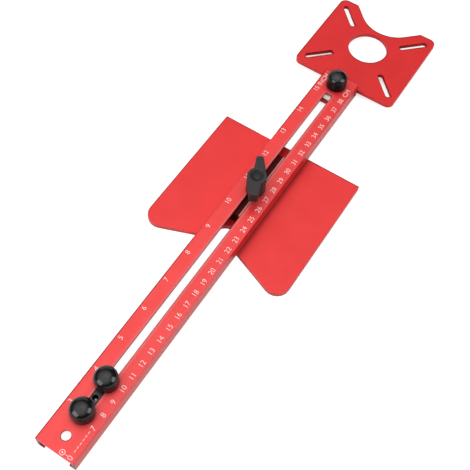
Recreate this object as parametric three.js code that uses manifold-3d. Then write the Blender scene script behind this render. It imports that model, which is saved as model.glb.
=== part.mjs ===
// Circle cutting jig for a hand router: a slotted channel arm with a printed scale carries
// a router plate at its far end, an edge guide under its middle and a pivot slider near its
// other end. Millimetres, +Z up, +X along the arm towards the router plate, Y = 0 on the
// arm's centre line, Z = 0 on the surface under the edge guide.

import * as THREE from 'three';
import { mergeVertices } from 'three/addons/utils/BufferGeometryUtils.js';
import Module from 'manifold-3d';

// Gaps between pieces
const seatGap = 0.2; // pieces that stay together
const runGap = 0.3; // pieces that slide or turn on each other
const overrun = 1; // how far a cut runs past the faces that it opens

// Arm, a channel that opens downwards between two inward lips
const armLength = 357.6;
const armWidth = 29.3;
const armHeight = 13;
const armWeb = 2.5;
const armWall = 2.25;
const lipThickness = 1.5;
const lipOpening = 19.4;
const armTopRound = 0.8;
const armInnerRound = 0.5;
const armSlotWidth = 5.8;
const armSlotRound = 0.9;
const armSlotNearMargin = 21.8;
const armSlotFarMargin = 21.3;
const endHoleRadius = 3.2;
const endHoleMargin = 11.5;

// Scale reading at the arm's near end, and where the sliding pieces stand on the scale
const nearEndReading = 46.2;
const nearKnobReading = 74.3;
const leverReading = 273.4;

// Router plate, with a tongue that lies on the arm's lips
const routerPlateLength = 83.8;
const routerPlateWidth = 88.8;
const routerPlateThickness = 3.5;
const routerPlateRound = 5.5;
const routerPlateToArm = 0.8;
const tongueLength = 23.5;
const tongueRound = 1.5;
const bitHoleRadius = 16;
const notchRadius = 27;
const notchDepth = 18.4;
const notchTipRound = 2.5;
const notchToBitHole = 4.5;
const mountSlotWidth = 4.5;
const mountSlotReach = 19.5; // between the centres of a slot's round ends
const mountSlotNearMargin = 16.5; // from the plate's near end to a slot's middle
const mountSlotFarMargin = 15.5;
const mountSlotSideMargin = 14.4;

// Clamp block on the tongue, the far knob's place and the screws that hold the block
const clampBlockLength = 20.6;
const clampBlockWidth = 20;
const clampBlockSetback = 2;
const farKnobSetback = 10.8;
const tongueScrewInset = 6;
const tongueScrewAcross = 6;
const tongueScrewRadius = 1.5;
const tongueScrewHeadRadius = 2.9;
const tongueScrewReach = 3.6; // into the block

// Knobs, their studs and washers
const knobRadius = 7.8;
const knobFoot = 0.5; // from the arm's top up to the knob's underside
const knobFootRound = 0.5;
const knobRimHeight = 8.2; // from the arm's top to the flat rim round the dome
const knobRimRound = 0.35;
const knobDomeRadius = 7.35;
const knobHeight = 12.6; // from the arm's top to the crown
const knobBoreDepth = 8.5;
const studRadius = 2.5;
const studChamfer = 0.5;
const washerRadius = 5.5;
const washerThickness = 1;

// Pivot slider and its pin
const knobSpacing = 23.9;
const sliderEndMargin = 7.1;
const sliderThickness = 5;
const sliderRibInset = 4;
const sliderRibDrop = 0.6; // below the arm's top
const sliderCornerRound = 1.5;
const pinRadius = 1.9;
const pinHeadDrop = 3; // below the rib's top
const pinPointLength = 4;
const pinPointLift = 0.6; // above the surface under the edge guide
const pinTipRadius = 0.2;

// Edge guide plate
const guideThickness = 4;
const guideWidth = 117.8;
const guideFarReach = 53.8; // from the lever's axis to the straight edge
const guideVReach = 40; // from the lever's axis to the corner of the V
const guideVSlope = Math.tan(THREE.MathUtils.degToRad(21.3));
const guideLobeRound = 10;
const guideCornerRound = 0.8;
const reliefRadius = 9.5;
const reliefOffset = 1.1;

// Key under the slot, its nut and its screws
const keyNearReach = 24;
const keyFarReach = 38.1;
const keyHeadroom = 0.5;
const keyCornerRound = 1;
const nutAcrossFlats = 8;
const nutThickness = 4;
const keyScrewInset = 8;
const keyScrewRadius = 2;
const keyScrewHeadRadius = 3.8;
const keyScrewReach = 6.5; // into the key
const socketDepthShare = 0.6; // of a screw head's depth
const socketRadiusShare = 0.5; // of a screw head's radius

// Clamp lever
const leverHubRadius = 7;
const leverHeight = 17.5; // from the arm's top
const leverWingThickness = 9;
const leverRecessRadius = 4.6;
const leverRecessDepth = 1.4;
const leverDotRadius = 0.8;
const leverDotDrop = 0.7; // below the lever's top
const leverBoreDepth = 10;
const leverTurn = THREE.MathUtils.degToRad(26);

// The lever's two wings: reach from its axis, and how far each edge stands off that axis
const farWingReach = 17.3;
const farWingRootLeft = 3.3;
const farWingTipLeft = 2;
const farWingTipRight = 3;
const farWingTipRound = 2.1;
const nearWingReach = 16.7;
const nearWingRootLeft = 4.2;
const nearWingTipLeft = 2.4;
const nearWingTipRight = 3.9;
const nearWingTipRound = 1.8;

// Flats on a rounded corner, the notch and a dome, and round a turned piece
const cornerSteps = 6;
const notchSteps = 20;
const domeSteps = 9;
const turnSteps = 48;
const studSteps = 32;

// Heights, from the surface under the edge guide
const armBottom = guideThickness + seatGap;
const armTop = armBottom + armHeight;
const webBottom = armTop - armWeb;
const lipTop = armBottom + lipThickness;
const routerPlateBottom = lipTop + seatGap;
const routerPlateTop = routerPlateBottom + routerPlateThickness;
const clampBlockBottom = routerPlateTop + seatGap;
const clampBlockTop = webBottom - seatGap;
const sliderTop = webBottom - runGap;
const sliderBottom = sliderTop - sliderThickness;
const sliderRibTop = armTop - sliderRibDrop;
const keyBottom = guideThickness + seatGap;
const keyTop = webBottom - keyHeadroom;

// Widths that follow the arm
const channelWidth = armWidth - 2 * armWall;
const tongueWidth = channelWidth - 2 * seatGap;
const sliderWidth = channelWidth - 2 * runGap;
const sliderRibWidth = armSlotWidth - 2 * runGap;
const keyWidth = lipOpening - 2 * runGap;

// Places along X, with the origin at the middle of the whole jig
const wholeLength = armLength + routerPlateToArm + routerPlateLength;
const armNear = -wholeLength / 2;
const armFar = armNear + armLength;
const scaleZero = armNear - nearEndReading;
const slotNear = armNear + armSlotNearMargin;
const slotFar = armFar - armSlotFarMargin;
const endHoleX = armNear + endHoleMargin;
const nearKnobX = scaleZero + nearKnobReading;
const midKnobX = nearKnobX + knobSpacing;
const pivotX = (nearKnobX + midKnobX) / 2;
const leverX = scaleZero + leverReading;
const farKnobX = armFar - farKnobSetback;
const routerPlateNear = armFar + routerPlateToArm;
const routerPlateFar = routerPlateNear + routerPlateLength;
const tongueNear = armFar - tongueLength;
const clampBlockFar = armFar - clampBlockSetback;
const clampBlockNear = clampBlockFar - clampBlockLength;
const tongueScrewX = clampBlockNear + tongueScrewInset;
const keyNear = leverX - keyNearReach;
const keyFar = leverX + keyFarReach;

// Surface finishes
const redPaint = { color: 0xe23c3c, roughness: 0.45, metalness: 0.1 };
const redAnodised = { color: 0xf05a58, roughness: 0.4, metalness: 0.3 };
const zincSteel = { color: 0xb9bbb8, roughness: 0.35, metalness: 0.9 };
const glossBlack = { color: 0x161616, roughness: 0.2, metalness: 0 };
const satinBlack = { color: 0x2e2f2f, roughness: 0.55, metalness: 0 };

const wasm = await Module();
wasm.setup();

// Points of a closed outline whose corners, given as [x, y, radius], are rounded by arcs
function roundedOutline(corners) {
  const points = [];
  corners.forEach(([x, y, radius], index) => {
    const corner = new THREE.Vector2(x, y);
    if (radius === 0) {
      points.push(corner);
      return;
    }
    const [lastX, lastY] = corners[(index + corners.length - 1) % corners.length];
    const [nextX, nextY] = corners[(index + 1) % corners.length];
    const back = new THREE.Vector2(lastX - x, lastY - y).normalize();
    const ahead = new THREE.Vector2(nextX - x, nextY - y).normalize();
    const halfAngle = Math.acos(back.dot(ahead)) / 2;
    const start = corner.clone().addScaledVector(back, radius / Math.tan(halfAngle));
    const inward = back.clone().add(ahead).normalize();
    const centre = corner.clone().addScaledVector(inward, radius / Math.sin(halfAngle));
    const sweep = (Math.PI - 2 * halfAngle) * Math.sign(ahead.cross(back));
    for (let step = 0; step <= cornerSteps; step += 1) {
      points.push(start.clone().rotateAround(centre, (sweep * step) / cornerSteps));
    }
  });
  return points;
}

// Corners of a rectangle between two X places, centred on Y = 0, all with one radius
function rectangle(near, far, width, radius) {
  return [
    [near, -width / 2, radius],
    [far, -width / 2, radius],
    [far, width / 2, radius],
    [near, width / 2, radius],
  ];
}

// Upright block over a closed outline
function prism(outline, bottom, top) {
  const options = { depth: top - bottom, bevelEnabled: false };
  const geometry = new THREE.ExtrudeGeometry(new THREE.Shape(outline), options);
  return geometry.translate(0, 0, bottom);
}

// Turned solid about Z, from [radius, height] points that start and end on the axis
function turned(profile, steps = turnSteps) {
  const points = profile.map(([radius, height]) => new THREE.Vector2(radius, height));
  return new THREE.LatheGeometry(points, steps).rotateX(Math.PI / 2);
}

// Plain round bar or hole about Z
function round(radius, bottom, top, steps = turnSteps) {
  return turned([[0, bottom], [radius, bottom], [radius, top], [0, top]], steps);
}

// Slot with round ends about Z, turned in its plane and moved to its centre
function roundEndedSlot(reach, width, angle, x, y, bottom, top) {
  const half = width / 2;
  const outline = roundedOutline([
    [-reach / 2 - half, -half, half],
    [reach / 2 + half, -half, half],
    [reach / 2 + half, half, half],
    [-reach / 2 - half, half, half],
  ]);
  return prism(outline, bottom, top).rotateZ(angle).translate(x, y, 0);
}

// Closed mesh with shared corners and its faces pointing out
function closedMesh(geometry) {
  const bare = geometry.clone();
  bare.deleteAttribute('normal');
  bare.deleteAttribute('uv');
  const merged = mergeVertices(bare);
  const position = merged.getAttribute('position');
  const corners = Uint32Array.from(merged.getIndex().array);
  const [a, b, c] = [new THREE.Vector3(), new THREE.Vector3(), new THREE.Vector3()];
  let volume = 0;
  for (let face = 0; face < corners.length; face += 3) {
    a.fromBufferAttribute(position, corners[face]);
    b.fromBufferAttribute(position, corners[face + 1]);
    c.fromBufferAttribute(position, corners[face + 2]);
    volume += a.dot(b.cross(c));
  }
  if (volume < 0) {
    corners.reverse();
  }
  return { vertProperties: Float32Array.from(position.array), triVerts: corners };
}

function solid(geometry) {
  return new wasm.Manifold(new wasm.Mesh({ numProp: 3, ...closedMesh(geometry) }));
}

// Geometry of a body after joining the pieces and then cutting the tools out of it
function shaped(body, pieces, tools) {
  let result = solid(body);
  pieces.forEach((piece) => {
    result = result.add(solid(piece));
  });
  tools.forEach((tool) => {
    result = result.subtract(solid(tool));
  });
  const { vertProperties, triVerts } = result.getMesh();
  const geometry = new THREE.BufferGeometry();
  geometry.setAttribute('position', new THREE.BufferAttribute(vertProperties, 3));
  geometry.setIndex(new THREE.BufferAttribute(triVerts, 1));
  geometry.computeVertexNormals();
  return geometry;
}

// Named piece with its finish
function piece(name, geometry, finish) {
  const mesh = new THREE.Mesh(geometry, new THREE.MeshStandardMaterial(finish));
  mesh.name = name;
  return mesh;
}

// Channel section of the arm, as [y, z] corners
function armSection() {
  const half = armWidth / 2;
  const inner = channelWidth / 2;
  const lip = lipOpening / 2;
  return roundedOutline([
    [lip, armBottom, 0],
    [half, armBottom, armInnerRound],
    [half, armTop, armTopRound],
    [-half, armTop, armTopRound],
    [-half, armBottom, armInnerRound],
    [-lip, armBottom, 0],
    [-lip, lipTop, 0],
    [-inner, lipTop, 0],
    [-inner, webBottom, armInnerRound],
    [inner, webBottom, armInnerRound],
    [inner, lipTop, 0],
    [lip, lipTop, 0],
  ]);
}

// Arm with its long slot, the hole near its end and the far knob's hole
function armGeometry() {
  const options = { depth: armLength, bevelEnabled: false };
  const channel = new THREE.ExtrudeGeometry(new THREE.Shape(armSection()), options);
  const toArm = new THREE.Matrix4().makeBasis(
    new THREE.Vector3(0, 1, 0),
    new THREE.Vector3(0, 0, 1),
    new THREE.Vector3(1, 0, 0),
  );
  channel.applyMatrix4(toArm).translate(armNear, 0, 0);
  const cutBottom = webBottom - overrun;
  const cutTop = armTop + overrun;
  const slotOutline = roundedOutline(rectangle(slotNear, slotFar, armSlotWidth, armSlotRound));
  const slot = prism(slotOutline, cutBottom, cutTop);
  const endHole = round(endHoleRadius, cutBottom, cutTop).translate(endHoleX, 0, 0);
  const knobHole = round(studRadius + runGap, cutBottom, cutTop).translate(farKnobX, 0, 0);
  return shaped(channel, [], [slot, endHole, knobHole]);
}

// Points of the notch's arc, from its +Y end to its -Y end
function notchArc() {
  const centreX = routerPlateFar - notchDepth + notchRadius;
  const points = [];
  for (let step = 0; step <= notchSteps; step += 1) {
    const angle = (Math.PI * 3) / 4 + ((Math.PI / 2) * step) / notchSteps;
    points.push([
      centreX + notchRadius * Math.cos(angle),
      notchRadius * Math.sin(angle),
      0,
    ]);
  }
  return points;
}

// Router plate: square with rounded corners, a tongue, the bit hole and four slanted slots
function routerPlateGeometry() {
  const half = routerPlateWidth / 2;
  const tongueHalf = tongueWidth / 2;
  const arc = notchArc();
  const [arcEndX, arcEndY] = arc[0];
  const tipY = arcEndY + routerPlateFar - arcEndX;
  const outline = roundedOutline([
    [routerPlateNear, half, routerPlateRound],
    [routerPlateNear, tongueHalf, 0],
    [tongueNear, tongueHalf, tongueRound],
    [tongueNear, -tongueHalf, tongueRound],
    [routerPlateNear, -tongueHalf, 0],
    [routerPlateNear, -half, routerPlateRound],
    [routerPlateFar, -half, routerPlateRound],
    [routerPlateFar, -tipY, notchTipRound],
    ...arc.toReversed(),
    [routerPlateFar, tipY, notchTipRound],
    [routerPlateFar, half, routerPlateRound],
  ]);
  const cutBottom = routerPlateBottom - overrun;
  const cutTop = routerPlateTop + overrun;
  const bitHoleX = routerPlateFar - notchDepth - notchToBitHole - bitHoleRadius;
  const cuts = [round(bitHoleRadius, cutBottom, cutTop).translate(bitHoleX, 0, 0)];
  const across = routerPlateWidth / 2 - mountSlotSideMargin;
  const slotMiddles = [
    [routerPlateNear + mountSlotNearMargin, -1],
    [routerPlateFar - mountSlotFarMargin, 1],
  ];
  slotMiddles.forEach(([x, end]) => {
    [-1, 1].forEach((side) => {
      const y = side * across;
      const angle = (end * side * Math.PI) / 4;
      cuts.push(roundEndedSlot(mountSlotReach, mountSlotWidth, angle, x, y, cutBottom, cutTop));
    });
  });
  [-1, 1].forEach((side) => {
    const sink = countersunkHole(tongueScrewRadius, tongueScrewHeadRadius, routerPlateThickness);
    cuts.push(sink.translate(tongueScrewX, side * tongueScrewAcross, routerPlateBottom));
  });
  return shaped(prism(outline, routerPlateBottom, routerPlateTop), [], cuts);
}

// Countersunk screw, head down: head face at seatGap, shank up through a plate and beyond it
function countersunkScrew(radius, headRadius, plateThickness, reach) {
  const headDepth = headRadius - radius;
  const headFace = seatGap;
  const tip = plateThickness + seatGap + reach;
  const body = turned([
    [0, headFace],
    [headRadius, headFace],
    [radius, headFace + headDepth],
    [radius, tip - radius / 2],
    [radius / 2, tip],
    [0, tip],
  ], studSteps);
  const socketTop = headFace + headDepth * socketDepthShare;
  const socket = round(headRadius * socketRadiusShare, headFace - overrun, socketTop, 6);
  return shaped(body, [], [socket]);
}

// Hole for that screw through its plate
function countersunkHole(radius, headRadius, plateThickness) {
  const wide = headRadius + seatGap + seatGap;
  const narrow = radius + seatGap;
  return turned([
    [0, -overrun],
    [wide, -overrun],
    [wide, 0],
    [narrow, wide - narrow],
    [narrow, plateThickness + overrun],
    [0, plateThickness + overrun],
  ], studSteps);
}

// Steel block on the tongue, threaded for the far knob and for the two screws
function clampBlockGeometry() {
  const outline = roundedOutline(
    rectangle(clampBlockNear, clampBlockFar, clampBlockWidth, tongueRound),
  );
  const bottom = clampBlockBottom - overrun;
  const screwTop = clampBlockBottom + tongueScrewReach + seatGap;
  const cuts = [
    round(studRadius + seatGap, bottom, clampBlockTop + overrun, studSteps).translate(farKnobX, 0, 0),
  ];
  [-1, 1].forEach((side) => {
    const hole = round(tongueScrewRadius + seatGap, bottom, screwTop, studSteps);
    cuts.push(hole.translate(tongueScrewX, side * tongueScrewAcross, 0));
  });
  return shaped(prism(outline, clampBlockBottom, clampBlockTop), [], cuts);
}

// Round knob: straight side, flat rim and domed crown, with Z = 0 on the arm's top
function knobGeometry() {
  const dome = [];
  for (let step = 0; step < domeSteps; step += 1) {
    const angle = ((Math.PI / 2) * step) / domeSteps;
    dome.push([
      knobDomeRadius * Math.cos(angle),
      knobRimHeight + (knobHeight - knobRimHeight) * Math.sin(angle),
    ]);
  }
  const body = turned([
    [0, knobFoot],
    [knobRadius - knobFootRound, knobFoot],
    [knobRadius, knobFoot + knobFootRound],
    [knobRadius, knobRimHeight - knobRimRound],
    [knobRadius - knobRimRound, knobRimHeight],
    ...dome,
    [0, knobHeight],
  ]);
  return shaped(body, [], [washerRecess(), round(studRadius + seatGap, 0, knobBoreDepth, studSteps)]);
}

// Room for a washer in the underside of a knob or of the lever
function washerRecess() {
  return round(washerRadius + runGap, 0, washerThickness + seatGap + runGap);
}

function washerGeometry() {
  const washer = round(washerRadius, seatGap, seatGap + washerThickness);
  return shaped(washer, [], [round(studRadius + runGap, 0, washerThickness + overrun, studSteps)]);
}

// Stud from a bottom height up to a top height, chamfered below
function studGeometry(bottom, top) {
  return turned([
    [0, bottom],
    [studRadius - studChamfer, bottom],
    [studRadius, bottom + studChamfer],
    [studRadius, top],
    [0, top],
  ], studSteps);
}

// Slider: a base that rides under the web and a rib that fills the slot between the knobs
function pivotSliderGeometry() {
  const near = nearKnobX - sliderEndMargin;
  const far = midKnobX + sliderEndMargin;
  const outline = roundedOutline(rectangle(near, far, sliderWidth, sliderCornerRound));
  const ribOutline = roundedOutline(
    rectangle(nearKnobX + sliderRibInset, midKnobX - sliderRibInset, sliderRibWidth, 0),
  );
  const rib = prism(ribOutline, sliderTop - overrun, sliderRibTop);
  const bottom = sliderBottom - overrun;
  const top = armTop + overrun;
  const cuts = [nearKnobX, midKnobX].map((x) => (
    round(studRadius + seatGap, bottom, top, studSteps).translate(x, 0, 0)
  ));
  cuts.push(round(pinRadius + seatGap, bottom, top, studSteps).translate(pivotX, 0, 0));
  return shaped(prism(outline, sliderBottom, sliderTop), [rib], cuts);
}

// Steel pin in the slider, pointed below
function pivotPinGeometry() {
  return turned([
    [0, pinPointLift],
    [pinTipRadius, pinPointLift],
    [pinRadius, pinPointLift + pinPointLength],
    [pinRadius, sliderRibTop - pinHeadDrop],
    [0, sliderRibTop - pinHeadDrop],
  ], studSteps);
}

// Edge guide: straight far edge, a wide V with round lobes and a relief at its corner
function guidePlateGeometry() {
  const half = guideWidth / 2;
  const far = leverX + guideFarReach;
  const corner = leverX - guideVReach;
  const lobe = corner - half * guideVSlope;
  const outline = roundedOutline([
    [far, -half, guideCornerRound],
    [far, half, guideCornerRound],
    [lobe, half, guideLobeRound],
    [corner, 0, 0],
    [lobe, -half, guideLobeRound],
  ]);
  const relief = round(reliefRadius, -overrun, guideThickness + overrun);
  const cuts = [relief.translate(corner + reliefOffset, 0, 0)];
  keyScrewPlaces().forEach((x) => {
    const hole = countersunkHole(keyScrewRadius, keyScrewHeadRadius, guideThickness);
    cuts.push(hole.translate(x, 0, 0));
  });
  return shaped(prism(outline, 0, guideThickness), [], cuts);
}

function keyScrewPlaces() {
  return [keyNear + keyScrewInset, keyFar - keyScrewInset];
}

// Key between the lips, with a pocket for the nut and blind holes for its screws
function keyGeometry() {
  const outline = roundedOutline(rectangle(keyNear, keyFar, keyWidth, keyCornerRound));
  const bottom = keyBottom - overrun;
  const pocket = hexPrism(nutAcrossFlats + 2 * seatGap, bottom, keyBottom + nutThickness + 2 * seatGap);
  const cuts = [
    pocket.translate(leverX, 0, 0),
    round(studRadius + runGap, bottom, keyTop + overrun, studSteps).translate(leverX, 0, 0),
  ];
  keyScrewPlaces().forEach((x) => {
    const holeTop = keyBottom + keyScrewReach + seatGap;
    cuts.push(round(keyScrewRadius + seatGap, bottom, holeTop, studSteps).translate(x, 0, 0));
  });
  return shaped(prism(outline, keyBottom, keyTop), [], cuts);
}

function hexPrism(acrossFlats, bottom, top) {
  return round(acrossFlats / 2 / Math.cos(Math.PI / 6), bottom, top, 6);
}

function keyNutGeometry() {
  const bottom = keyBottom + seatGap;
  const nut = hexPrism(nutAcrossFlats, bottom, bottom + nutThickness);
  const thread = round(studRadius + seatGap, bottom - overrun, bottom + nutThickness + overrun, studSteps);
  return shaped(nut, [], [thread]).translate(leverX, 0, 0);
}

// One wing of the lever, from its axis to its tip along +X; its right edge leaves the hub's side
function leverWing(reach, rootLeft, tipLeft, tipRight, tipRound) {
  const outline = roundedOutline([
    [0, -leverHubRadius, 0],
    [reach, -tipRight, tipRound],
    [reach, tipLeft, tipRound],
    [0, rootLeft, 0],
  ]);
  return prism(outline, leverHeight - leverWingThickness, leverHeight);
}

// Clamp lever about its own axis, with Z = 0 on the arm's top
function leverGeometry() {
  const farWing = leverWing(
    farWingReach, farWingRootLeft, farWingTipLeft, farWingTipRight, farWingTipRound,
  );
  const nearWing = leverWing(
    nearWingReach, nearWingRootLeft, nearWingTipLeft, nearWingTipRight, nearWingTipRound,
  ).rotateZ(Math.PI);
  const hub = turned([
    [0, knobFoot],
    [leverHubRadius - knobFootRound, knobFoot],
    [leverHubRadius, knobFoot + knobFootRound],
    [leverHubRadius, leverHeight],
    [0, leverHeight],
  ]);
  const recessFloor = leverHeight - leverRecessDepth;
  const recess = turned([
    [0, leverHeight - leverDotDrop],
    [leverDotRadius, leverHeight - leverDotDrop],
    [leverDotRadius, recessFloor],
    [leverRecessRadius, recessFloor],
    [leverRecessRadius, leverHeight + overrun],
    [0, leverHeight + overrun],
  ]);
  const bore = round(studRadius + seatGap, 0, leverBoreDepth, studSteps);
  return shaped(hub, [farWing, nearWing], [recess, washerRecess(), bore]);
}

// A knob with its stud and its washer, standing on the arm's top
function knobSet(name, x, studBottom) {
  const set = new THREE.Group();
  set.position.set(x, 0, armTop);
  const stud = studGeometry(studBottom - armTop, knobBoreDepth - seatGap);
  set.add(
    piece(name, knobGeometry(), glossBlack),
    piece(`${name}_stud`, stud, zincSteel),
    piece(`${name}_washer`, washerGeometry(), zincSteel),
  );
  return set;
}

// Arm, router plate and the clamp block with its screws and knob
function armGroup() {
  const group = new THREE.Group();
  group.add(
    piece('ruler_arm', armGeometry(), redAnodised),
    piece('router_plate', routerPlateGeometry(), redPaint),
    piece('clamp_block', clampBlockGeometry(), zincSteel),
    knobSet('far_knob', farKnobX, clampBlockBottom + seatGap),
  );
  const sides = { tongue_screw_right: -1, tongue_screw_left: 1 };
  Object.entries(sides).forEach(([name, side]) => {
    const reach = tongueScrewReach;
    const geometry = countersunkScrew(
      tongueScrewRadius, tongueScrewHeadRadius, routerPlateThickness, reach,
    );
    const screw = piece(name, geometry, zincSteel);
    screw.position.set(tongueScrewX, side * tongueScrewAcross, routerPlateBottom);
    group.add(screw);
  });
  return group;
}

// Pivot slider with its pin and its two knobs
function pivotGroup() {
  const group = new THREE.Group();
  const pin = piece('pivot_pin', pivotPinGeometry(), zincSteel);
  pin.position.x = pivotX;
  const studBottom = sliderBottom - studChamfer;
  group.add(
    piece('pivot_slider', pivotSliderGeometry(), satinBlack),
    pin,
    knobSet('near_knob', nearKnobX, studBottom),
    knobSet('mid_knob', midKnobX, studBottom),
  );
  return group;
}

// Edge guide with its key, nut, screws and clamp lever
function guideGroup() {
  const group = new THREE.Group();
  group.add(
    piece('edge_guide_plate', guidePlateGeometry(), redPaint),
    piece('guide_key', keyGeometry(), satinBlack),
    piece('key_nut', keyNutGeometry(), zincSteel),
  );
  const names = ['key_screw_near', 'key_screw_far'];
  keyScrewPlaces().forEach((x, index) => {
    const geometry = countersunkScrew(
      keyScrewRadius, keyScrewHeadRadius, guideThickness, keyScrewReach,
    );
    const screw = piece(names[index], geometry, zincSteel);
    screw.position.x = x;
    group.add(screw);
  });
  const clamp = new THREE.Group();
  clamp.position.set(leverX, 0, armTop);
  const lever = piece('clamp_lever', leverGeometry(), satinBlack);
  lever.rotation.z = leverTurn;
  const stud = studGeometry(keyBottom + seatGap - armTop, leverBoreDepth - seatGap);
  clamp.add(
    lever,
    piece('lever_stud', stud, zincSteel),
    piece('lever_washer', washerGeometry(), zincSteel),
  );
  group.add(clamp);
  return group;
}

const jig = new THREE.Group();
jig.add(armGroup(), pivotGroup(), guideGroup());

export default jig;
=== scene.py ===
import math

import bmesh
import bpy
from mathutils import Matrix, Vector


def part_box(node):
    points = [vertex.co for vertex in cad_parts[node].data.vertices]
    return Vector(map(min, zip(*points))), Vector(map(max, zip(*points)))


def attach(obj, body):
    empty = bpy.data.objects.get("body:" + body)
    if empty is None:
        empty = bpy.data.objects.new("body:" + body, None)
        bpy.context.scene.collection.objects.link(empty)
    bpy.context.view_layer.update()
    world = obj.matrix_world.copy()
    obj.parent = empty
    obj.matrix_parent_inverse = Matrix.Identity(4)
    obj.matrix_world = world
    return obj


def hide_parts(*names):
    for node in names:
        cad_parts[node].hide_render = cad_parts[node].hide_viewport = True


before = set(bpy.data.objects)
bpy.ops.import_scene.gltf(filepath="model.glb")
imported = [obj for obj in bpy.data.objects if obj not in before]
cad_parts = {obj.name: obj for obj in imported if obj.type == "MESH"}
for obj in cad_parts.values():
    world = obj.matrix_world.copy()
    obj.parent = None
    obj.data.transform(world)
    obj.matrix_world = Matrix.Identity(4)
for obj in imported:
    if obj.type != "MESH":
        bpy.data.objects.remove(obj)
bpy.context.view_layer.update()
MM = 0.001

# Levels and places read from the frame, in metres
ARM_LOW, ARM_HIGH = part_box("ruler_arm")
GUIDE_LOW, GUIDE_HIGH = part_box("edge_guide_plate")
ARM_NEAR = ARM_LOW[0]
ARM_TOP = ARM_HIGH[2]
ARM_SIDE = ARM_HIGH[1]
LEVER_X = sum(corner[0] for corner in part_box("lever_stud")) / 2
# The arm's slot, with its softened edges
SLOT_NEAR = ARM_NEAR + 21.4 * MM
SLOT_FAR = ARM_HIGH[0] - 20.9 * MM
SLOT_HALF = 4.0 * MM
# A place beyond the jig, as the open end of a range
FAR_OFF = 1.0


# Objects and meshes


def new_object(name, data):
    """A new object in the scene."""
    thing = bpy.data.objects.new(name, data)
    bpy.context.scene.collection.objects.link(thing)
    return thing


def new_mesh(name, work):
    """A new mesh from a bmesh, which is freed."""
    mesh = bpy.data.meshes.new(name)
    work.to_mesh(mesh)
    work.free()
    return mesh


# Camera

CAMERA_PLACE = Vector((-291.07, -147.83, 507.82)) * MM
CAMERA_RIGHT = Vector((0.5403, -0.8403, 0.0440))
CAMERA_DOWN = Vector((-0.7113, -0.4841, -0.5096))
CAMERA_LENS = 62.9
CAMERA_SENSOR = 36.0
CAMERA_NEAREST = 10 * MM
CAMERA_FURTHEST = 20.0


def make_camera():
    data = bpy.data.cameras.new("camera")
    data.lens = CAMERA_LENS
    data.sensor_width = CAMERA_SENSOR
    data.clip_start = CAMERA_NEAREST
    data.clip_end = CAMERA_FURTHEST
    camera = new_object("camera", data)
    right = CAMERA_RIGHT.normalized()
    up = -(CAMERA_DOWN - right * CAMERA_DOWN.dot(right)).normalized()
    back = right.cross(up)
    turn = Matrix((right, up, back)).transposed()
    camera.matrix_world = Matrix.Translation(CAMERA_PLACE) @ turn.to_4x4()
    bpy.context.scene.camera = camera


# Node trees

# The part of a noise's range that most of its values lie in
NOISE_LOW = 0.35
NOISE_HIGH = 0.65
BEVEL_SAMPLES = 6
SHADE_SAMPLES = 8
# A rim of painted dark outline starts to show, and shows in full, where the face looks up by so
# much and where its rounded edge looks the rim's way by so much
RIM_UP = (0.05, 0.2)
RIM_AWAY = (0.03, 0.16)
# The open shares of the surroundings where the painted shade in corners is deepest and where it
# ends
PAINTED_SHADE_OPEN = (0.45, 0.92)


def maths(tree, operation, first, second):
    """One step of arithmetic on two values, each a number or a socket."""
    node = tree.nodes.new("ShaderNodeMath")
    node.operation = operation
    for socket, value in zip(node.inputs, (first, second)):
        if isinstance(value, (int, float)):
            socket.default_value = value
        else:
            tree.links.new(value, socket)
    return node.outputs[0]


def spread(tree, value, low, high, start, end):
    """A value's range from start to end mapped to low and high, and held there beyond it."""
    node = tree.nodes.new("ShaderNodeMapRange")
    numbers = {"From Min": start, "From Max": end, "To Min": low, "To Max": high}
    for key, number in numbers.items():
        node.inputs[key].default_value = number
    tree.links.new(value, node.inputs["Value"])
    return node.outputs["Result"]


def ray_kinds(tree):
    """Three values, each 1 for its kind of ray: the camera's own, a reflected one, and one
    that has passed through glass."""
    path = tree.nodes.new("ShaderNodeLightPath")
    kinds = ("Is Camera Ray", "Is Glossy Ray", "Is Transmission Ray")
    return [path.outputs[kind] for kind in kinds]


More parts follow.
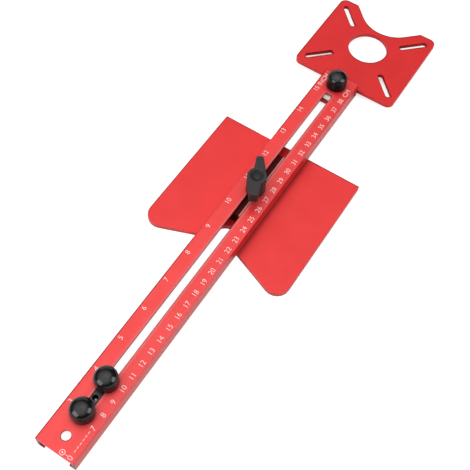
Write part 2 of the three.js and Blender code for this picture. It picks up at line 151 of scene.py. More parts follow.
class Nodes:
    """A new material's node tree, with short calls to add and join its nodes."""

    def __init__(self, name):
        self.material = bpy.data.materials.new(name)
        self.material.use_nodes = True
        self.tree = self.material.node_tree
        self.shader = self.tree.nodes["Principled BSDF"]

    def add(self, kind, **values):
        node = self.tree.nodes.new(kind)
        for key, value in values.items():
            if key in node.inputs:
                node.inputs[key].default_value = value
            else:
                setattr(node, key, value)
        return node

    def join(self, start, end):
        self.tree.links.new(start, end)

    def set(self, **values):
        for key, value in values.items():
            self.shader.inputs[key.replace("_", " ")].default_value = value

    def drive(self, key, socket):
        self.join(socket, self.shader.inputs[key])

    def maths(self, operation, first, second):
        return maths(self.tree, operation, first, second)

    def multiply(self, first, second):
        return self.maths("MULTIPLY", first, second)

    def spread(self, value, low, high, start=NOISE_LOW, end=NOISE_HIGH):
        return spread(self.tree, value, low, high, start, end)

    def place(self, stretch=(1, 1, 1)):
        """Object coordinates, stretched along the axes."""
        coordinates = self.add("ShaderNodeTexCoord")
        mapping = self.add("ShaderNodeMapping", Scale=stretch)
        self.join(coordinates.outputs["Object"], mapping.inputs["Vector"])
        return mapping.outputs["Vector"]

    def noise(self, scale, detail=3.0, roughness=0.5, stretch=(1, 1, 1)):
        node = self.add("ShaderNodeTexNoise", Scale=scale, Detail=detail, Roughness=roughness)
        self.join(self.place(stretch), node.inputs["Vector"])
        return node.outputs["Fac"]

    def blend(self, factor, first, second):
        """Colour between two colours, each a tuple or a socket."""
        node = self.add("ShaderNodeMix", data_type="RGBA")
        self.join(factor, node.inputs["Factor"])
        for key, colour in (("A", first), ("B", second)):
            socket = [s for s in node.inputs if s.name == key and s.type == "RGBA"][0]
            if isinstance(colour, tuple):
                socket.default_value = (*colour, 1.0)
            else:
                self.join(colour, socket)
        return [s for s in node.outputs if s.type == "RGBA"][0]

    def inside(self, **ranges):
        """1 where the place is in the range given for each axis, else 0."""
        split = self.add("ShaderNodeSeparateXYZ")
        self.join(self.place(), split.inputs["Vector"])
        mask = 1.0
        for axis, (least, most) in ranges.items():
            along = split.outputs[axis]
            mask = self.multiply(mask, self.maths("GREATER_THAN", along, least))
            mask = self.multiply(mask, self.maths("LESS_THAN", along, most))
        return mask

    def within(self, centre, inner, outer):
        """1 between two distances from a centre at level 0, measured level, else 0."""
        flat = self.add("ShaderNodeVectorMath", operation="MULTIPLY")
        flat.inputs[1].default_value = (1, 1, 0)
        self.join(self.place(), flat.inputs[0])
        apart = self.add("ShaderNodeVectorMath", operation="DISTANCE")
        apart.inputs[1].default_value = centre
        self.join(flat.outputs["Vector"], apart.inputs[0])
        beyond = self.maths("GREATER_THAN", apart.outputs["Value"], inner)
        return self.multiply(beyond, self.maths("LESS_THAN", apart.outputs["Value"], outer))

    def upward(self):
        """How far the face looks up: 1 for a level top, 0 for an upright side."""
        geometry = self.add("ShaderNodeNewGeometry")
        split = self.add("ShaderNodeSeparateXYZ")
        self.join(geometry.outputs["Normal"], split.inputs["Vector"])
        return split.outputs["Z"]

    def rounded_dot(self, radius, other):
        """Dot product of the normal, rounded at the edges, with a direction or a socket."""
        bevel = self.add("ShaderNodeBevel", samples=BEVEL_SAMPLES, Radius=radius)
        dot = self.add("ShaderNodeVectorMath", operation="DOT_PRODUCT")
        self.join(bevel.outputs["Normal"], dot.inputs[0])
        if isinstance(other, tuple):
            dot.inputs[1].default_value = other
        else:
            self.join(other, dot.inputs[1])
        return dot.outputs["Value"]

    def edge_wear(self, radius, full, none):
        """1 on worn edges and 0 elsewhere, from how far a rounded normal leaves the face."""
        normal = self.add("ShaderNodeNewGeometry").outputs["Normal"]
        return self.spread(self.rounded_dot(radius, normal), 1.0, 0.0, full, none)

    def rim(self, radius, direction):
        """1 along a top's edges that look in a level direction, else 0."""
        upward = self.spread(self.upward(), 0.0, 1.0, *RIM_UP)
        away = self.spread(self.rounded_dot(radius, direction), 0.0, 1.0, *RIM_AWAY)
        return self.multiply(upward, away)

    def shade(self, reach):
        """Open share of the surroundings up to a distance."""
        node = self.add("ShaderNodeAmbientOcclusion", samples=SHADE_SAMPLES, Distance=reach)
        return node.outputs["AO"]

    def crevice(self, reach, deepest):
        """Painted shade: 1 in the open, down to a share of it where other faces stand close."""
        return self.spread(self.shade(reach), deepest, 1.0, *PAINTED_SHADE_OPEN)

    def bump(self, height, distance, strength=0.5):
        node = self.add("ShaderNodeBump", Strength=strength, Distance=distance)
        self.join(height, node.inputs["Height"])
        self.drive("Normal", node.outputs["Normal"])


# Red coat

COAT_METAL = 0.12
COAT_ROUGH = (0.36, 0.5)
COAT_GRAIN = 0.02 * MM
MOTTLE = {"scale": 45.0, "detail": 4.0, "roughness": 0.6}
STREAKS = {"scale": 900.0, "detail": 3.0, "roughness": 0.6}
# The part of the streaks that lightens the coat, and by how much
STREAK_PART = (0.4, 0.75)
STREAK_LIGHT = 0.5
# How strong the slot's painted highlight and the painted dark rim are where the mottling is weak
# and where it is strong
SLOT_GLINT_SHARE = (0.6, 1.0)
RIM_SHARE = (0.8, 1.0)
# What a plain area keeps of the painted dark rim
PLAIN_RIM = 0.1
# Painted shade in corners: its colour, as a share of the coat's
PAINTED_SHADE_SHARE = 0.1
# Paler red of the painted highlight along the slot's edges
SLOT_GLINT_COLOUR = (0.60, 0.09, 0.09)
# Painted shade on the arm's near end below its top
END_SHADE_COLOUR = (0.06, 0.006, 0.006)
# How far the painted highlight beside the slot reaches on its -Y side
SLOT_GLINT_EDGE = -1.15 * SLOT_HALF
# Level direction away from the camera's side
FAR_WAY = (0.80, 0.60, 0.0)


def anodised_red(
        name, base, light, edge, edge_reach, specular, reach, deepest,
        stretch=(1, 1, 1), strip=None, plain=None, end_shade=None):
    """Satin red coat with fine grain and soft mottling, with painted shade in corners and a
    painted dark outline along its far edges, like the dark line that sharpening leaves.

    Three areas may be given as ranges by axis: a strip with a painted highlight, a plain area
    that keeps the coat's colour up to its edges with no painted shade in corners and only a trace
    of the dark outline, and an end darkened with painted shade."""
    nodes = Nodes(name)
    nodes.set(Metallic=COAT_METAL)
    mottle = nodes.noise(**MOTTLE)
    streaks = nodes.noise(**STREAKS, stretch=stretch)
    tone = nodes.blend(nodes.spread(mottle, 0.0, 1.0), base, light)
    coat = nodes.blend(nodes.spread(streaks, 0.0, STREAK_LIGHT, *STREAK_PART), tone, light)
    if strip:
        # Painted highlight along the slot's softened edges
        slot_glint = nodes.multiply(nodes.inside(**strip), nodes.spread(mottle, *SLOT_GLINT_SHARE))
        coat = nodes.blend(slot_glint, coat, SLOT_GLINT_COLOUR)
    if end_shade:
        # Painted shade on the near end
        coat = nodes.blend(nodes.inside(**end_shade), coat, END_SHADE_COLOUR)
    # Painted dark outline along the top's far edges, where the gloss is taken away too
    rim = nodes.multiply(nodes.rim(edge_reach, FAR_WAY), nodes.spread(mottle, *RIM_SHARE))
    # Painted shade where other faces stand close
    unshaded_share = nodes.crevice(reach, deepest)
    if plain:
        spared = nodes.inside(**plain)
        rim = nodes.multiply(rim, nodes.spread(spared, 1.0, PLAIN_RIM, 0.0, 1.0))
        unshaded_share = nodes.maths("MAXIMUM", unshaded_share, spared)
    coat = nodes.blend(rim, coat, edge)
    corner_shade = tuple(PAINTED_SHADE_SHARE * value for value in base)
    nodes.drive("Base Color", nodes.blend(unshaded_share, corner_shade, coat))
    nodes.drive("Specular IOR Level", nodes.spread(rim, specular, 0.0, 0.0, 1.0))
    nodes.drive("Roughness", nodes.spread(streaks, *COAT_ROUGH))
    nodes.bump(streaks, COAT_GRAIN)
    return nodes.material


ARM_RED = anodised_red(
    "arm_red",
    base=(0.71, 0.012, 0.012),
    light=(0.75, 0.020, 0.020),
    edge=(0.10, 0.008, 0.008),
    edge_reach=1.1 * MM,
    specular=0.57,
    reach=2.5 * MM,
    deepest=0.4,
    stretch=(0.02, 1, 1),
    strip={"X": (SLOT_NEAR, SLOT_FAR), "Y": (SLOT_GLINT_EDGE, SLOT_HALF)},
    plain={"X": (GUIDE_LOW[0], GUIDE_HIGH[0]), "Y": (2 * SLOT_HALF, ARM_SIDE + MM)},
    end_shade={"X": (-FAR_OFF, ARM_NEAR + 0.5 * MM), "Z": (-FAR_OFF, ARM_TOP - 1.6 * MM)})
PLATE_RED = anodised_red(
    "plate_red",
    base=(0.66, 0.008, 0.008),
    light=(0.70, 0.014, 0.014),
    edge=(0.10, 0.008, 0.008),
    edge_reach=1.5 * MM,
    specular=0.44,
    reach=5 * MM,
    deepest=0.4,
    plain={"X": (GUIDE_LOW[0], GUIDE_HIGH[0]), "Y": (ARM_SIDE - MM, ARM_SIDE + 14 * MM)})
ROUTER_RED = anodised_red(
    "router_red",
    base=(0.60, 0.005, 0.006),
    light=(0.64, 0.009, 0.010),
    edge=(0.08, 0.006, 0.006),
    edge_reach=1.8 * MM,
    specular=0.38,
    reach=5 * MM,
    deepest=0.35)


# Steel

STEEL_GRAIN = 0.02 * MM
STEEL_LINES = {"scale": 700.0, "detail": 2.0, "stretch": (1, 12, 1)}
STEEL_CLOUD = 180.0
# Roughness below and above the stated one
STEEL_SMOOTHER = 0.06
STEEL_ROUGHER = 0.1


def steel(name, base, dark, rough):
    """Bright or plated steel with fine lines and cloudy patches."""
    nodes = Nodes(name)
    nodes.set(Metallic=1.0)
    lines = nodes.noise(**STEEL_LINES)
    cloud = nodes.noise(STEEL_CLOUD)
    nodes.drive("Base Color", nodes.blend(nodes.spread(cloud, 0.0, 1.0), base, dark))
    nodes.drive("Roughness", nodes.spread(lines, rough - STEEL_SMOOTHER, rough + STEEL_ROUGHER))
    nodes.bump(lines, STEEL_GRAIN, strength=0.4)
    return nodes.material


STEEL = steel("zinc_steel", base=(0.50, 0.51, 0.50), dark=(0.34, 0.34, 0.33), rough=0.32)
# Clamp block steel, paler than the zinc steel: painted light for the bright highlight on its top
# in the slot
LIT_BLOCK_STEEL = steel("block_steel_lit", base=(0.92, 0.90, 0.86), dark=(0.72, 0.70, 0.66), rough=0.42)
PIN_STEEL = steel("pin_steel", base=(0.16, 0.16, 0.16), dark=(0.09, 0.09, 0.09), rough=0.24)


# Black plastic

PLASTIC_CLOUD = 160.0
PLASTIC_ROUGHER = 0.08
# Painted shade in corners, on the gloss: how far off other faces count, what is left of the open
# share there, and what is left of the gloss
CORNER_REACH = 3 * MM
CORNER_DEEPEST = 0.2
CORNER_GLOSS = 0.15
# Upward parts of a face's direction where it counts as a side and where as a top
SIDE_UP = (0.15, 0.45)
RECESS_SHADE_GLOSS = 0.3
# Worn edges: reach, the dot products where the wear is full and where it ends, and how
# strong it is where the texture is low and where it is high
WEAR = {"radius": 0.4 * MM, "full": 0.88, "none": 0.998}
WEAR_SHARE = (0.1, 0.6)
# Worn edges are so many times paler, and a little more
WEAR_TIMES = 3.0
WEAR_MORE = 0.02


def black_plastic(
        name, base, light, rough, texture_scale, grain, specular, side=1.0, ring=None,
        line=None, glint_colour=None):
    """Moulded black plastic: gloss with faint waves, or satin with a fine grain.

    Upright sides keep a share of the gloss, and so does a ring around a centre: painted shade
    that dims the reflections there. A line, given as ranges by axis, gets a painted highlight in
    another colour."""
    nodes = Nodes(name)
    corner = nodes.crevice(CORNER_REACH, CORNER_DEEPEST)
    gloss = nodes.spread(corner, CORNER_GLOSS * specular, specular, 0.0, 1.0)
    # Painted shade in reflections: upright sides keep only a share of the gloss
    gloss = nodes.multiply(gloss, nodes.spread(nodes.upward(), side, 1.0, *SIDE_UP))
    # Painted shade in the lever's recess: a ring keeps only a share of the gloss
    if ring:
        gloss = nodes.multiply(
            gloss, nodes.spread(nodes.within(**ring), 1.0, RECESS_SHADE_GLOSS, 0.0, 1.0))
    nodes.drive("Specular IOR Level", gloss)
    cloud = nodes.noise(PLASTIC_CLOUD)
    texture = nodes.noise(texture_scale, roughness=0.6)
    tone = nodes.blend(nodes.spread(cloud, 0.0, 1.0), base, light)
    if line:
        # Painted highlight along a line
        tone = nodes.blend(nodes.inside(**line), tone, glint_colour)
    wear = nodes.multiply(nodes.edge_wear(**WEAR), nodes.spread(texture, *WEAR_SHARE))
    worn = tuple(WEAR_TIMES * value + WEAR_MORE for value in light)
    nodes.drive("Base Color", nodes.blend(wear, tone, worn))
    nodes.drive("Roughness", nodes.spread(texture, rough, rough + PLASTIC_ROUGHER))
    nodes.bump(texture, grain)
    return nodes.material


KNOB_BLACK = black_plastic(
    "knob_black",
    base=(0.006, 0.006, 0.006),
    light=(0.009, 0.009, 0.009),
    rough=0.12,
    texture_scale=90.0,
    grain=0.05 * MM,
    specular=0.30,
    side=0.3)
LEVER_BLACK = black_plastic(
    "lever_black",
    base=(0.014, 0.014, 0.014),
    light=(0.020, 0.020, 0.020),
    rough=0.46,
    texture_scale=1500.0,
    grain=0.05 * MM,
    specular=0.29,
    ring={"centre": (LEVER_X, 0, 0), "inner": 2.0 * MM, "outer": 3.9 * MM})
SLIDER_BLACK = black_plastic(
    "slider_black",
    base=(0.012, 0.012, 0.012),
    light=(0.020, 0.020, 0.020),
    rough=0.34,
    texture_scale=1200.0,
    grain=0.04 * MM,
    specular=0.45)
KEY_BLACK = black_plastic(
    "key_black",
    # The key's dark red is partly its black plastic and partly painted light: red light thrown
    # back from the arm
    base=(0.040, 0.002, 0.002),
    light=(0.056, 0.003, 0.003),
    rough=0.65,
    texture_scale=1200.0,
    grain=0.04 * MM,
    specular=0.07,
    # Painted highlight along the key's -Y top edge
    line={"Y": (-2.4 * MM, -0.95 * MM)},
    glint_colour=(0.50, 0.20, 0.20))


# Print

PRINT_PATCHES = {"scale": 1400.0, "detail": 2.0}
PRINT_ROUGH = 0.6


def print_white(name, white, thin):
    """Lasered white marks, slightly uneven and pinkish where the coat shows through."""
    nodes = Nodes(name)
    patches = nodes.noise(**PRINT_PATCHES)
    nodes.drive("Base Color", nodes.blend(nodes.spread(patches, 0.0, 1.0), white, thin))
    nodes.set(Roughness=PRINT_ROUGH)
    return nodes.material


PRINT = print_white("scale_print", white=(0.95, 0.76, 0.72), thin=(0.92, 0.58, 0.55))
FAINT_PRINT = print_white("tick_print", white=(0.84, 0.20, 0.19), thin=(0.80, 0.10, 0.10))


# Pieces that take the place of CAD nodes

WELD_DISTANCE = 0.001 * MM
# Angles in degrees: between faces that count as one, and at edges that stay sharp in the
# shading or are softened
FLAT_ANGLE = 0.5
SHARP_ANGLE = 32.0
SOFTENED_ANGLE = 28.0


def add_piece(name, mesh, material, body):
    thing = new_object(name, mesh)
    mesh.materials.clear()
    mesh.materials.append(material)
    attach(thing, body)
    return thing


def stand_in(node, mesh, material, body):
    thing = add_piece(f"{node}_piece", mesh, material, body)
    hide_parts(node)
    return thing


def smooth(mesh, angle=SHARP_ANGLE):
    mesh.shade_smooth()
    mesh.set_sharp_from_angle(angle=math.radians(angle))


def dressed(node, body, material, width, segments):
    """A CAD piece's shape with its flat faces joined up and its edges softened."""
    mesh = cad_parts[node].data.copy()
    work = bmesh.new()
    work.from_mesh(mesh)
    bmesh.ops.remove_doubles(work, verts=work.verts, dist=WELD_DISTANCE)
    bmesh.ops.dissolve_limit(
        work, angle_limit=math.radians(FLAT_ANGLE), verts=work.verts, edges=work.edges)
    work.to_mesh(mesh)
    work.free()
    thing = stand_in(node, mesh, material, body)
    smooth(mesh)
    modifier = thing.modifiers.new("soft_edges", "BEVEL")
    modifier.width = width
    modifier.segments = segments
    modifier.limit_method = "ANGLE"
    modifier.angle_limit = math.radians(SOFTENED_ANGLE)
    modifier.harden_normals = True
    modifier.use_clamp_overlap = True


def level_circle(work, x, y, z, radius, steps):
    """Vertices of a level circle, in order."""
    angles = [2 * math.pi * step / steps for step in range(steps)]
    return [work.verts.new((x + radius * math.cos(angle), y + radius * math.sin(angle), z))
            for angle in angles]


def revolve(profile, steps):
    """Closed mesh turned about Z from (radius, height) points that start and end on the axis."""
    work = bmesh.new()
    rings = []
    for radius, height in profile:
        if radius == 0:
            rings.append([work.verts.new((0, 0, height))])
        else:
            rings.append(level_circle(work, 0, 0, height, radius, steps))
    for low, high in zip(rings, rings[1:]):
        for step in range(steps):
            following = (step + 1) % steps
            corners = [low[step % len(low)], low[following % len(low)],
                       high[following % len(high)], high[step % len(high)]]
            work.faces.new(list(dict.fromkeys(corners)))
    bmesh.ops.recalc_face_normals(work, faces=work.faces)
    return new_mesh("turned", work)


def arc(centre, radius_x, radius_z, start, end, steps):
    """Points of an elliptic arc in the (radius, height) plane, angles in degrees."""
    points = []
    for step in range(steps + 1):
        angle = math.radians(start + (end - start) * step / steps)
        points.append((
            centre[0] + radius_x * math.cos(angle), centre[1] + radius_z * math.sin(angle)))
    return points


def turned(node, body, material, profile, foot, steps, angle=SHARP_ANGLE):
    """A CAD node's stand-in, turned about its upright middle line from a height up."""
    low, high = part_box(node)
    axis = Vector(low).lerp(Vector(high), 0.5)
    mesh = revolve(profile, steps)
    smooth(mesh, angle)
    mesh.transform(Matrix.Translation((axis.x, axis.y, foot)))
    stand_in(node, mesh, material, body)


def round_size(node):
    """Radius, height and lowest level of an upright round node."""
    low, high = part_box(node)
    return (high[0] - low[0]) / 2, high[2] - low[2], low[2]


# Knobs, with levels above the arm's top

KNOB_STEPS = 96
KNOB_RADIUS = 7.8 * MM
KNOB_FOOT = 0.5 * MM
KNOB_FOOT_ROUND = 0.4 * MM
KNOB_RIM = 8.2 * MM
KNOB_RIM_ROUND = 0.12 * MM
# How far round the rim turns, in degrees: a little inward of its top
KNOB_RIM_SWEEP = 100
KNOB_DOME_RADIUS = 7.64 * MM
KNOB_DOME_DIP = 0.04 * MM
KNOB_CROWN = 12.6 * MM
KNOB_RECESS = 5.8 * MM
KNOB_RECESS_ROOF = 1.5 * MM


def knob(node, body):
    """Gloss knob: straight side, rounded rim, a fine groove and a domed crown."""
    profile = [(0, KNOB_RECESS_ROOF), (KNOB_RECESS, KNOB_RECESS_ROOF), (KNOB_RECESS, KNOB_FOOT)]
    foot = (KNOB_RADIUS - KNOB_FOOT_ROUND, KNOB_FOOT + KNOB_FOOT_ROUND)
    profile += arc(foot, KNOB_FOOT_ROUND, KNOB_FOOT_ROUND, -90, 0, steps=5)
    rim = (KNOB_RADIUS - KNOB_RIM_ROUND, KNOB_RIM - KNOB_RIM_ROUND)
    profile += arc(rim, KNOB_RIM_ROUND, KNOB_RIM_ROUND, 0, KNOB_RIM_SWEEP, steps=8)
    dome = (0, KNOB_RIM - KNOB_DOME_DIP)
    profile += arc(dome, KNOB_DOME_RADIUS, KNOB_CROWN - dome[1], 0, 90, steps=30)[:-1]
    profile.append((0, KNOB_CROWN))
    turned(node, body, KNOB_BLACK, profile, ARM_TOP, KNOB_STEPS)


# Studs and the pin

STUD_STEPS = 48
THREAD_PITCH = 0.8 * MM
THREAD_DEPTH = 0.35 * MM
THREAD_SHARP_ANGLE = 20.0
PIN_STEPS = 64
PIN_POINT = 4 * MM
PIN_DOME = 0.9 * MM
# Radius and height of the blunt tip
PIN_TIP = (0.15 * MM, 0.02 * MM)


def stud(node, body):
    """Threaded stud: a ridge at each turn of the thread, inside the plain shank's size."""
    radius, height, foot = round_size(node)
    root = radius - THREAD_DEPTH
    turns = int((height - radius) / THREAD_PITCH)
    profile = [(0, 0), (radius - 2 * THREAD_DEPTH, 0)]
    for turn in range(turns):
        start = THREAD_DEPTH + turn * THREAD_PITCH
        profile += [(root, start), (radius, start + THREAD_PITCH / 2)]
    profile += [(root, THREAD_DEPTH + turns * THREAD_PITCH), (root, height), (0, height)]
    turned(node, body, STEEL, profile, foot, STUD_STEPS, THREAD_SHARP_ANGLE)


def pivot_pin():
    """Pin with a blunt point below and a domed head."""
    radius, height, foot = round_size("pivot_pin")
    profile = [(0, 0), PIN_TIP, (radius, PIN_POINT)]
    profile += arc((0, height - PIN_DOME), radius, PIN_DOME, 0, 90, steps=10)[:-1]
    profile.append((0, height))
    turned("pivot_pin", "pivot", PIN_STEEL, profile, foot, PIN_STEPS)


# Lever

LEVER_VOXEL = 0.28 * MM
LEVER_SOFTEN = 0.5
LEVER_SOFTEN_TIMES = 4


def lever():
    """Moulded lever: the CAD shape with every edge rounded as a moulding is."""
    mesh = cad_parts["clamp_lever"].data.copy()
    thing = stand_in("clamp_lever", mesh, LEVER_BLACK, "lever")
    remesh = thing.modifiers.new("even_grid", "REMESH")
    remesh.mode = "VOXEL"
    remesh.voxel_size = LEVER_VOXEL
    remesh.use_smooth_shade = True
    soften = thing.modifiers.new("soft_edges", "SMOOTH")
    soften.factor = LEVER_SOFTEN
    soften.iterations = LEVER_SOFTEN_TIMES


# Printed scale: places along the arm are readings of its centimetre scale

PRINT_LEVEL = ARM_TOP + 0.02 * MM
# Reading at the arm's near end
NEAR_END_READING = 46.2 * MM
CM = 10 * MM
INCH = 25.4 * MM

DIGIT_SIZE = 5.2 * MM
DIGIT_BOLD = -0.035 * MM
DIGIT_CURVE_STEPS = 4
CM_ROW = -11.2 * MM
INCH_ROW = 10.8 * MM
CM_NUMBERS = range(7, 39)
INCH_NUMBERS = range(3, 16)
# The zero stands for the scale's start, at the target
ZERO_READING = 48.3 * MM
ZERO_ROW = -10.8 * MM

UNIT_SIZE = 5.5 * MM
CM_UNIT_READING = 389.8 * MM
INCH_UNIT_READING = 392.0 * MM

TARGET_READING = 48.5 * MM
TARGET_ROW = -4.7 * MM
TARGET_RING = {"outer": 1.85 * MM, "inner": 1.45 * MM, "steps": 40}
TARGET_DOT = {"outer": 0.55 * MM, "inner": 0.1 * MM, "steps": 16}

TICK_WIDTH = 0.11 * MM
TICK_START = 3.35 * MM
# Ticks are numbered from the scale's start, and the coarsest division that a number fits
# gives the length
CM_TICK_STEP = CM / 10
CM_TICK_NUMBERS = range(68, 383)
CM_TICKS = {10: 4.6 * MM, 5: 3.0 * MM, 1: 1.7 * MM}
INCH_TICK_STEP = INCH / 16
INCH_TICK_NUMBERS = range(43, 241)
INCH_TICKS = {16: 4.6 * MM, 8: 3.2 * MM, 4: 2.4 * MM, 2: 1.9 * MM, 1: 1.4 * MM}

# A broken line runs from the zero to the 7, and one dash stands across at its start
DASH_WIDTH = 0.35 * MM
DASH_LENGTH = 1.8 * MM
DASH_STEP = 2.7 * MM
DASH_COUNT = 6
DASH_FIRST_READING = 52.2 * MM
DASH_ROW = -10.8 * MM
CROSS_DASH_READING = 48.2 * MM
CROSS_DASH_ROWS = (-8.6 * MM, -7.2 * MM)


def reading_x(reading):
    """Place along the arm of a reading of the scale."""
    return ARM_NEAR + reading - NEAR_END_READING


def words(text, reading, row, size=DIGIT_SIZE):
    """Flat mesh of a printed number or unit, centred on its place."""
    data = bpy.data.curves.new("print", "FONT")
    data.body = text
    data.size = size
    data.align_x = "CENTER"
    data.align_y = "CENTER"
    data.resolution_u = DIGIT_CURVE_STEPS
    data.offset = DIGIT_BOLD
    thing = new_object("print", data)
    bpy.context.view_layer.update()
    evaluated = thing.evaluated_get(bpy.context.evaluated_depsgraph_get())
    mesh = bpy.data.meshes.new_from_object(evaluated)
    bpy.data.objects.remove(thing)
    bpy.data.curves.remove(data)
    mesh.transform(Matrix.Translation((reading_x(reading), row, PRINT_LEVEL)))
    return mesh


def flat_ring(reading, row, outer, inner, steps):
    work = bmesh.new()
    x = reading_x(reading)
    outside = level_circle(work, x, row, PRINT_LEVEL, outer, steps)
    inside = level_circle(work, x, row, PRINT_LEVEL, inner, steps)
    for step in range(steps):
        following = (step + 1) % steps
        work.faces.new((outside[step], outside[following], inside[following], inside[step]))
    return new_mesh("ring", work)


def joined(name, meshes):
    work = bmesh.new()
    for mesh in meshes:
        work.from_mesh(mesh)
        bpy.data.meshes.remove(mesh)
    return new_mesh(name, work)


def bars(name, boxes):
    """Flat bars, each given as (x0, x1, y0, y1)."""
    work = bmesh.new()
    for x0, x1, y0, y1 in boxes:
        corners = [(x0, y0), (x1, y0), (x1, y1), (x0, y1)]
        work.faces.new([work.verts.new((x, y, PRINT_LEVEL)) for x, y in corners])
    return new_mesh(name, work)


def ticks(step, numbers, lengths, side):
    """Tick bars along one edge of the slot; coarser divisions are longer."""
    found = []
    for number in numbers:
        length = next(lengths[part] for part in lengths if number % part == 0)
        x = reading_x(number * step)
        ends = sorted((side * TICK_START, side * (TICK_START + length)))
        found.append((x - TICK_WIDTH / 2, x + TICK_WIDTH / 2, *ends))
    return found


def dashes():
    cross = reading_x(CROSS_DASH_READING)
    found = [(cross, cross + DASH_WIDTH, *CROSS_DASH_ROWS)]
    for count in range(DASH_COUNT):
        start = reading_x(DASH_FIRST_READING + DASH_STEP * count)
        found.append((start, start + DASH_LENGTH, DASH_ROW, DASH_ROW + DASH_WIDTH))
    return found


def printed_scale():
    numbers = [words(str(number), number * CM, CM_ROW) for number in CM_NUMBERS]
    numbers += [words(str(number), number * INCH, INCH_ROW) for number in INCH_NUMBERS]
    numbers.append(words("CM", CM_UNIT_READING, CM_ROW, UNIT_SIZE))
    numbers.append(words("INCH", INCH_UNIT_READING, INCH_ROW, UNIT_SIZE))
    numbers.append(words("0", ZERO_READING, ZERO_ROW))
    numbers.append(flat_ring(TARGET_READING, TARGET_ROW, **TARGET_RING))
    numbers.append(flat_ring(TARGET_READING, TARGET_ROW, **TARGET_DOT))
    add_piece("scale_numerals", joined("scale_numerals", numbers), PRINT, "arm")
    add_piece("scale_dashes", bars("scale_dashes", dashes()), PRINT, "arm")
    marks = ticks(CM_TICK_STEP, CM_TICK_NUMBERS, CM_TICKS, side=-1)
    marks += ticks(INCH_TICK_STEP, INCH_TICK_NUMBERS, INCH_TICKS, side=1)
    add_piece("scale_ticks", bars("scale_ticks", marks), FAINT_PRINT, "arm")


# Light

# The sky's strength away from its bright middle and in it, the direction of that middle, and
# the dot products with it where the sky starts to brighten and is brightest
SKY_LOW = 0.04
SKY_HIGH = 2.5
SKY_AXIS = (-0.06, 0.12, 0.98)
SKY_START = 0.58
SKY_END = 0.95
# Heights of a direction where the white backdrop is full and where it ends
HORIZON_FULL = 0.0
HORIZON_END = 0.06

# Soft boxes: width and height in metres, and radiance
LAMPS_TARGET = (-0.18, 0.0, 0.02)
LEFT_LAMP = {"place": (-1.03, 0.34, 0.62), "size": (0.80, 0.74)}
RIGHT_LAMP = {"place": (0.23, -0.82, 0.62), "size": (0.62, 0.70)}
TOP_LAMP = {"place": (0.17, 0.05, 1.0), "size": (0.55, 0.55)}
FAR_LAMP = {"place": (0.95, 0.85, 0.42), "size": (1.5, 0.55)}
BOX_GLOW = 6.0
TOP_GLOW = 0.7
FAR_GLOW = 1.1
LEFT_FILL = 2.0
RIGHT_FILL = 0.1


def soft_box(name, place, size, glow, fill=False):
    """Rectangular lamp that only shows in reflections or, as a fill, only lights surfaces."""
    width, height = size
    data = bpy.data.lights.new(name, "AREA")
    data.shape = "RECTANGLE"
    data.size = width
    data.size_y = height
    data.energy = glow * math.pi * width * height
    light = new_object(name, data)
    light.location = place
    toward = Vector(LAMPS_TARGET) - Vector(place)
    light.rotation_euler = toward.to_track_quat("-Z", "Y").to_euler()
    light.visible_camera = False
    light.visible_diffuse = fill
    light.visible_glossy = not fill


def sky():
    """Studio room: bright above and dark low down, with a white backdrop along the horizon."""
    world = bpy.data.worlds.new("surroundings")
    world.use_nodes = True
    tree = world.node_tree
    background = tree.nodes["Background"]
    background.inputs["Color"].default_value = (1, 1, 1, 1)
    direction = tree.nodes.new("ShaderNodeTexCoord").outputs["Generated"]
    split = tree.nodes.new("ShaderNodeSeparateXYZ")
    tree.links.new(direction, split.inputs["Vector"])
    toward = tree.nodes.new("ShaderNodeVectorMath")
    toward.operation = "DOT_PRODUCT"
    toward.inputs[1].default_value = Vector(SKY_AXIS).normalized()
    tree.links.new(direction, toward.inputs[0])
    room = spread(tree, toward.outputs["Value"], SKY_LOW, SKY_HIGH, SKY_START, SKY_END)
    band = spread(tree, split.outputs["Z"], 1.0, 0.0, HORIZON_FULL, HORIZON_END)
    camera, glossy, through = ray_kinds(tree)
    backdrop = maths(tree, "MULTIPLY", band, maths(tree, "MAXIMUM", glossy, through))
    white = maths(tree, "MAXIMUM", backdrop, camera)
    tree.links.new(maths(tree, "MAXIMUM", room, white), background.inputs["Strength"])
    bpy.context.scene.world = world


def studio():
    soft_box("left_box", **LEFT_LAMP, glow=BOX_GLOW)
    soft_box("right_box", **RIGHT_LAMP, glow=BOX_GLOW)
    soft_box("top_box", **TOP_LAMP, glow=TOP_GLOW)
    soft_box("far_box", **FAR_LAMP, glow=FAR_GLOW)
    soft_box("left_fill", **LEFT_LAMP, glow=LEFT_FILL, fill=True)
    soft_box("right_fill", **RIGHT_LAMP, glow=RIGHT_FILL, fill=True)
    sky()


# Floor

FLOOR_HALF = 4.0
FLOOR_ROUGH = 0.9
# Its colour for the light that it throws back, and as it is seen, under its own glow
FLOOR_THROWS = (0.86, 0.86, 0.86)
FLOOR_SEEN = (0.25, 0.25, 0.25)
# The glow, how far off a piece still shades it, and the open shares of the surroundings
# where it starts and where it is full, seen straight and in a reflection
FLOOR_GLOW = 0.94
FLOOR_SHADE_REACH = 16 * MM
OPEN_SEEN = (0.05, 0.18)
OPEN_REFLECTED = (0.26, 0.60)


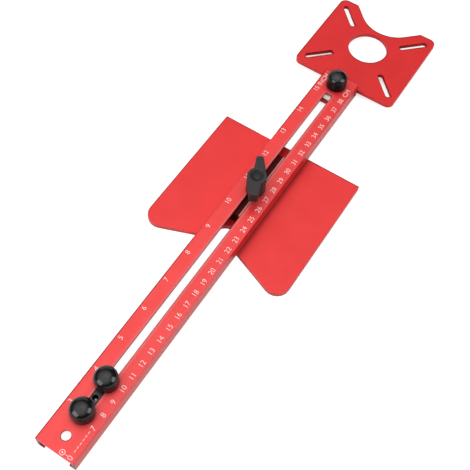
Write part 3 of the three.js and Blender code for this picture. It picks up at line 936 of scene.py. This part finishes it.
def floor():
    """White floor that glows where it is seen, with a painted shadow that lowers the glow where
    pieces stand close over it.
    """
    work = bmesh.new()
    signs = [(-1, -1), (1, -1), (1, 1), (-1, 1)]
    work.faces.new([work.verts.new((x * FLOOR_HALF, y * FLOOR_HALF, 0.0)) for x, y in signs])
    mesh = new_mesh("floor", work)
    nodes = Nodes("floor_white")
    nodes.set(Roughness=FLOOR_ROUGH, Specular_IOR_Level=0.0, Emission_Color=(1, 1, 1, 1))
    camera, glossy, through = ray_kinds(nodes.tree)
    seen = nodes.maths("MAXIMUM", camera, nodes.maths("MAXIMUM", glossy, through))
    nodes.drive("Base Color", nodes.blend(seen, FLOOR_THROWS, FLOOR_SEEN))
    shade = nodes.shade(FLOOR_SHADE_REACH)
    straight = nodes.multiply(
        nodes.maths("MAXIMUM", camera, through), nodes.spread(shade, 0.0, FLOOR_GLOW, *OPEN_SEEN))
    reflected = nodes.multiply(glossy, nodes.spread(shade, 0.0, FLOOR_GLOW, *OPEN_REFLECTED))
    nodes.drive("Emission Strength", nodes.maths("MAXIMUM", straight, reflected))
    mesh.materials.append(nodes.material)
    new_object("floor", mesh)


# Nodes that keep the CAD shape: body, material, and the width and segments of soft edges
DRESSED = {
    "ruler_arm": ("arm", ARM_RED, 0.35 * MM, 3),
    "router_plate": ("arm", ROUTER_RED, 0.35 * MM, 3),
    "edge_guide_plate": ("guide", PLATE_RED, 0.4 * MM, 3),
    "clamp_block": ("arm", LIT_BLOCK_STEEL, 0.4 * MM, 3),
    "pivot_slider": ("pivot", SLIDER_BLACK, 0.35 * MM, 3),
    "guide_key": ("guide", KEY_BLACK, 0.35 * MM, 3),
    "tongue_screw_left": ("arm", STEEL, 0.12 * MM, 2),
    "tongue_screw_right": ("arm", STEEL, 0.12 * MM, 2),
    "far_knob_washer": ("arm", STEEL, 0.12 * MM, 2),
    "near_knob_washer": ("pivot", STEEL, 0.15 * MM, 2),
    "mid_knob_washer": ("pivot", STEEL, 0.15 * MM, 2),
    "key_nut": ("guide", STEEL, 0.15 * MM, 2),
    "key_screw_near": ("guide", STEEL, 0.15 * MM, 2),
    "key_screw_far": ("guide", STEEL, 0.15 * MM, 2),
    "lever_washer": ("guide", STEEL, 0.15 * MM, 2),
}
KNOBS = {"far_knob": "far_clamp", "near_knob": "near_clamp", "mid_knob": "mid_clamp"}
STUDS = {
    "far_knob_stud": "far_clamp",
    "near_knob_stud": "near_clamp",
    "mid_knob_stud": "mid_clamp",
    "lever_stud": "lever",
}


def build():
    make_camera()
    for node, finish in DRESSED.items():
        dressed(node, *finish)
    for node, body in KNOBS.items():
        knob(node, body)
    for node, body in STUDS.items():
        stud(node, body)
    pivot_pin()
    lever()
    printed_scale()
    studio()
    floor()
    bpy.context.scene.view_settings.view_transform = "Standard"


build()
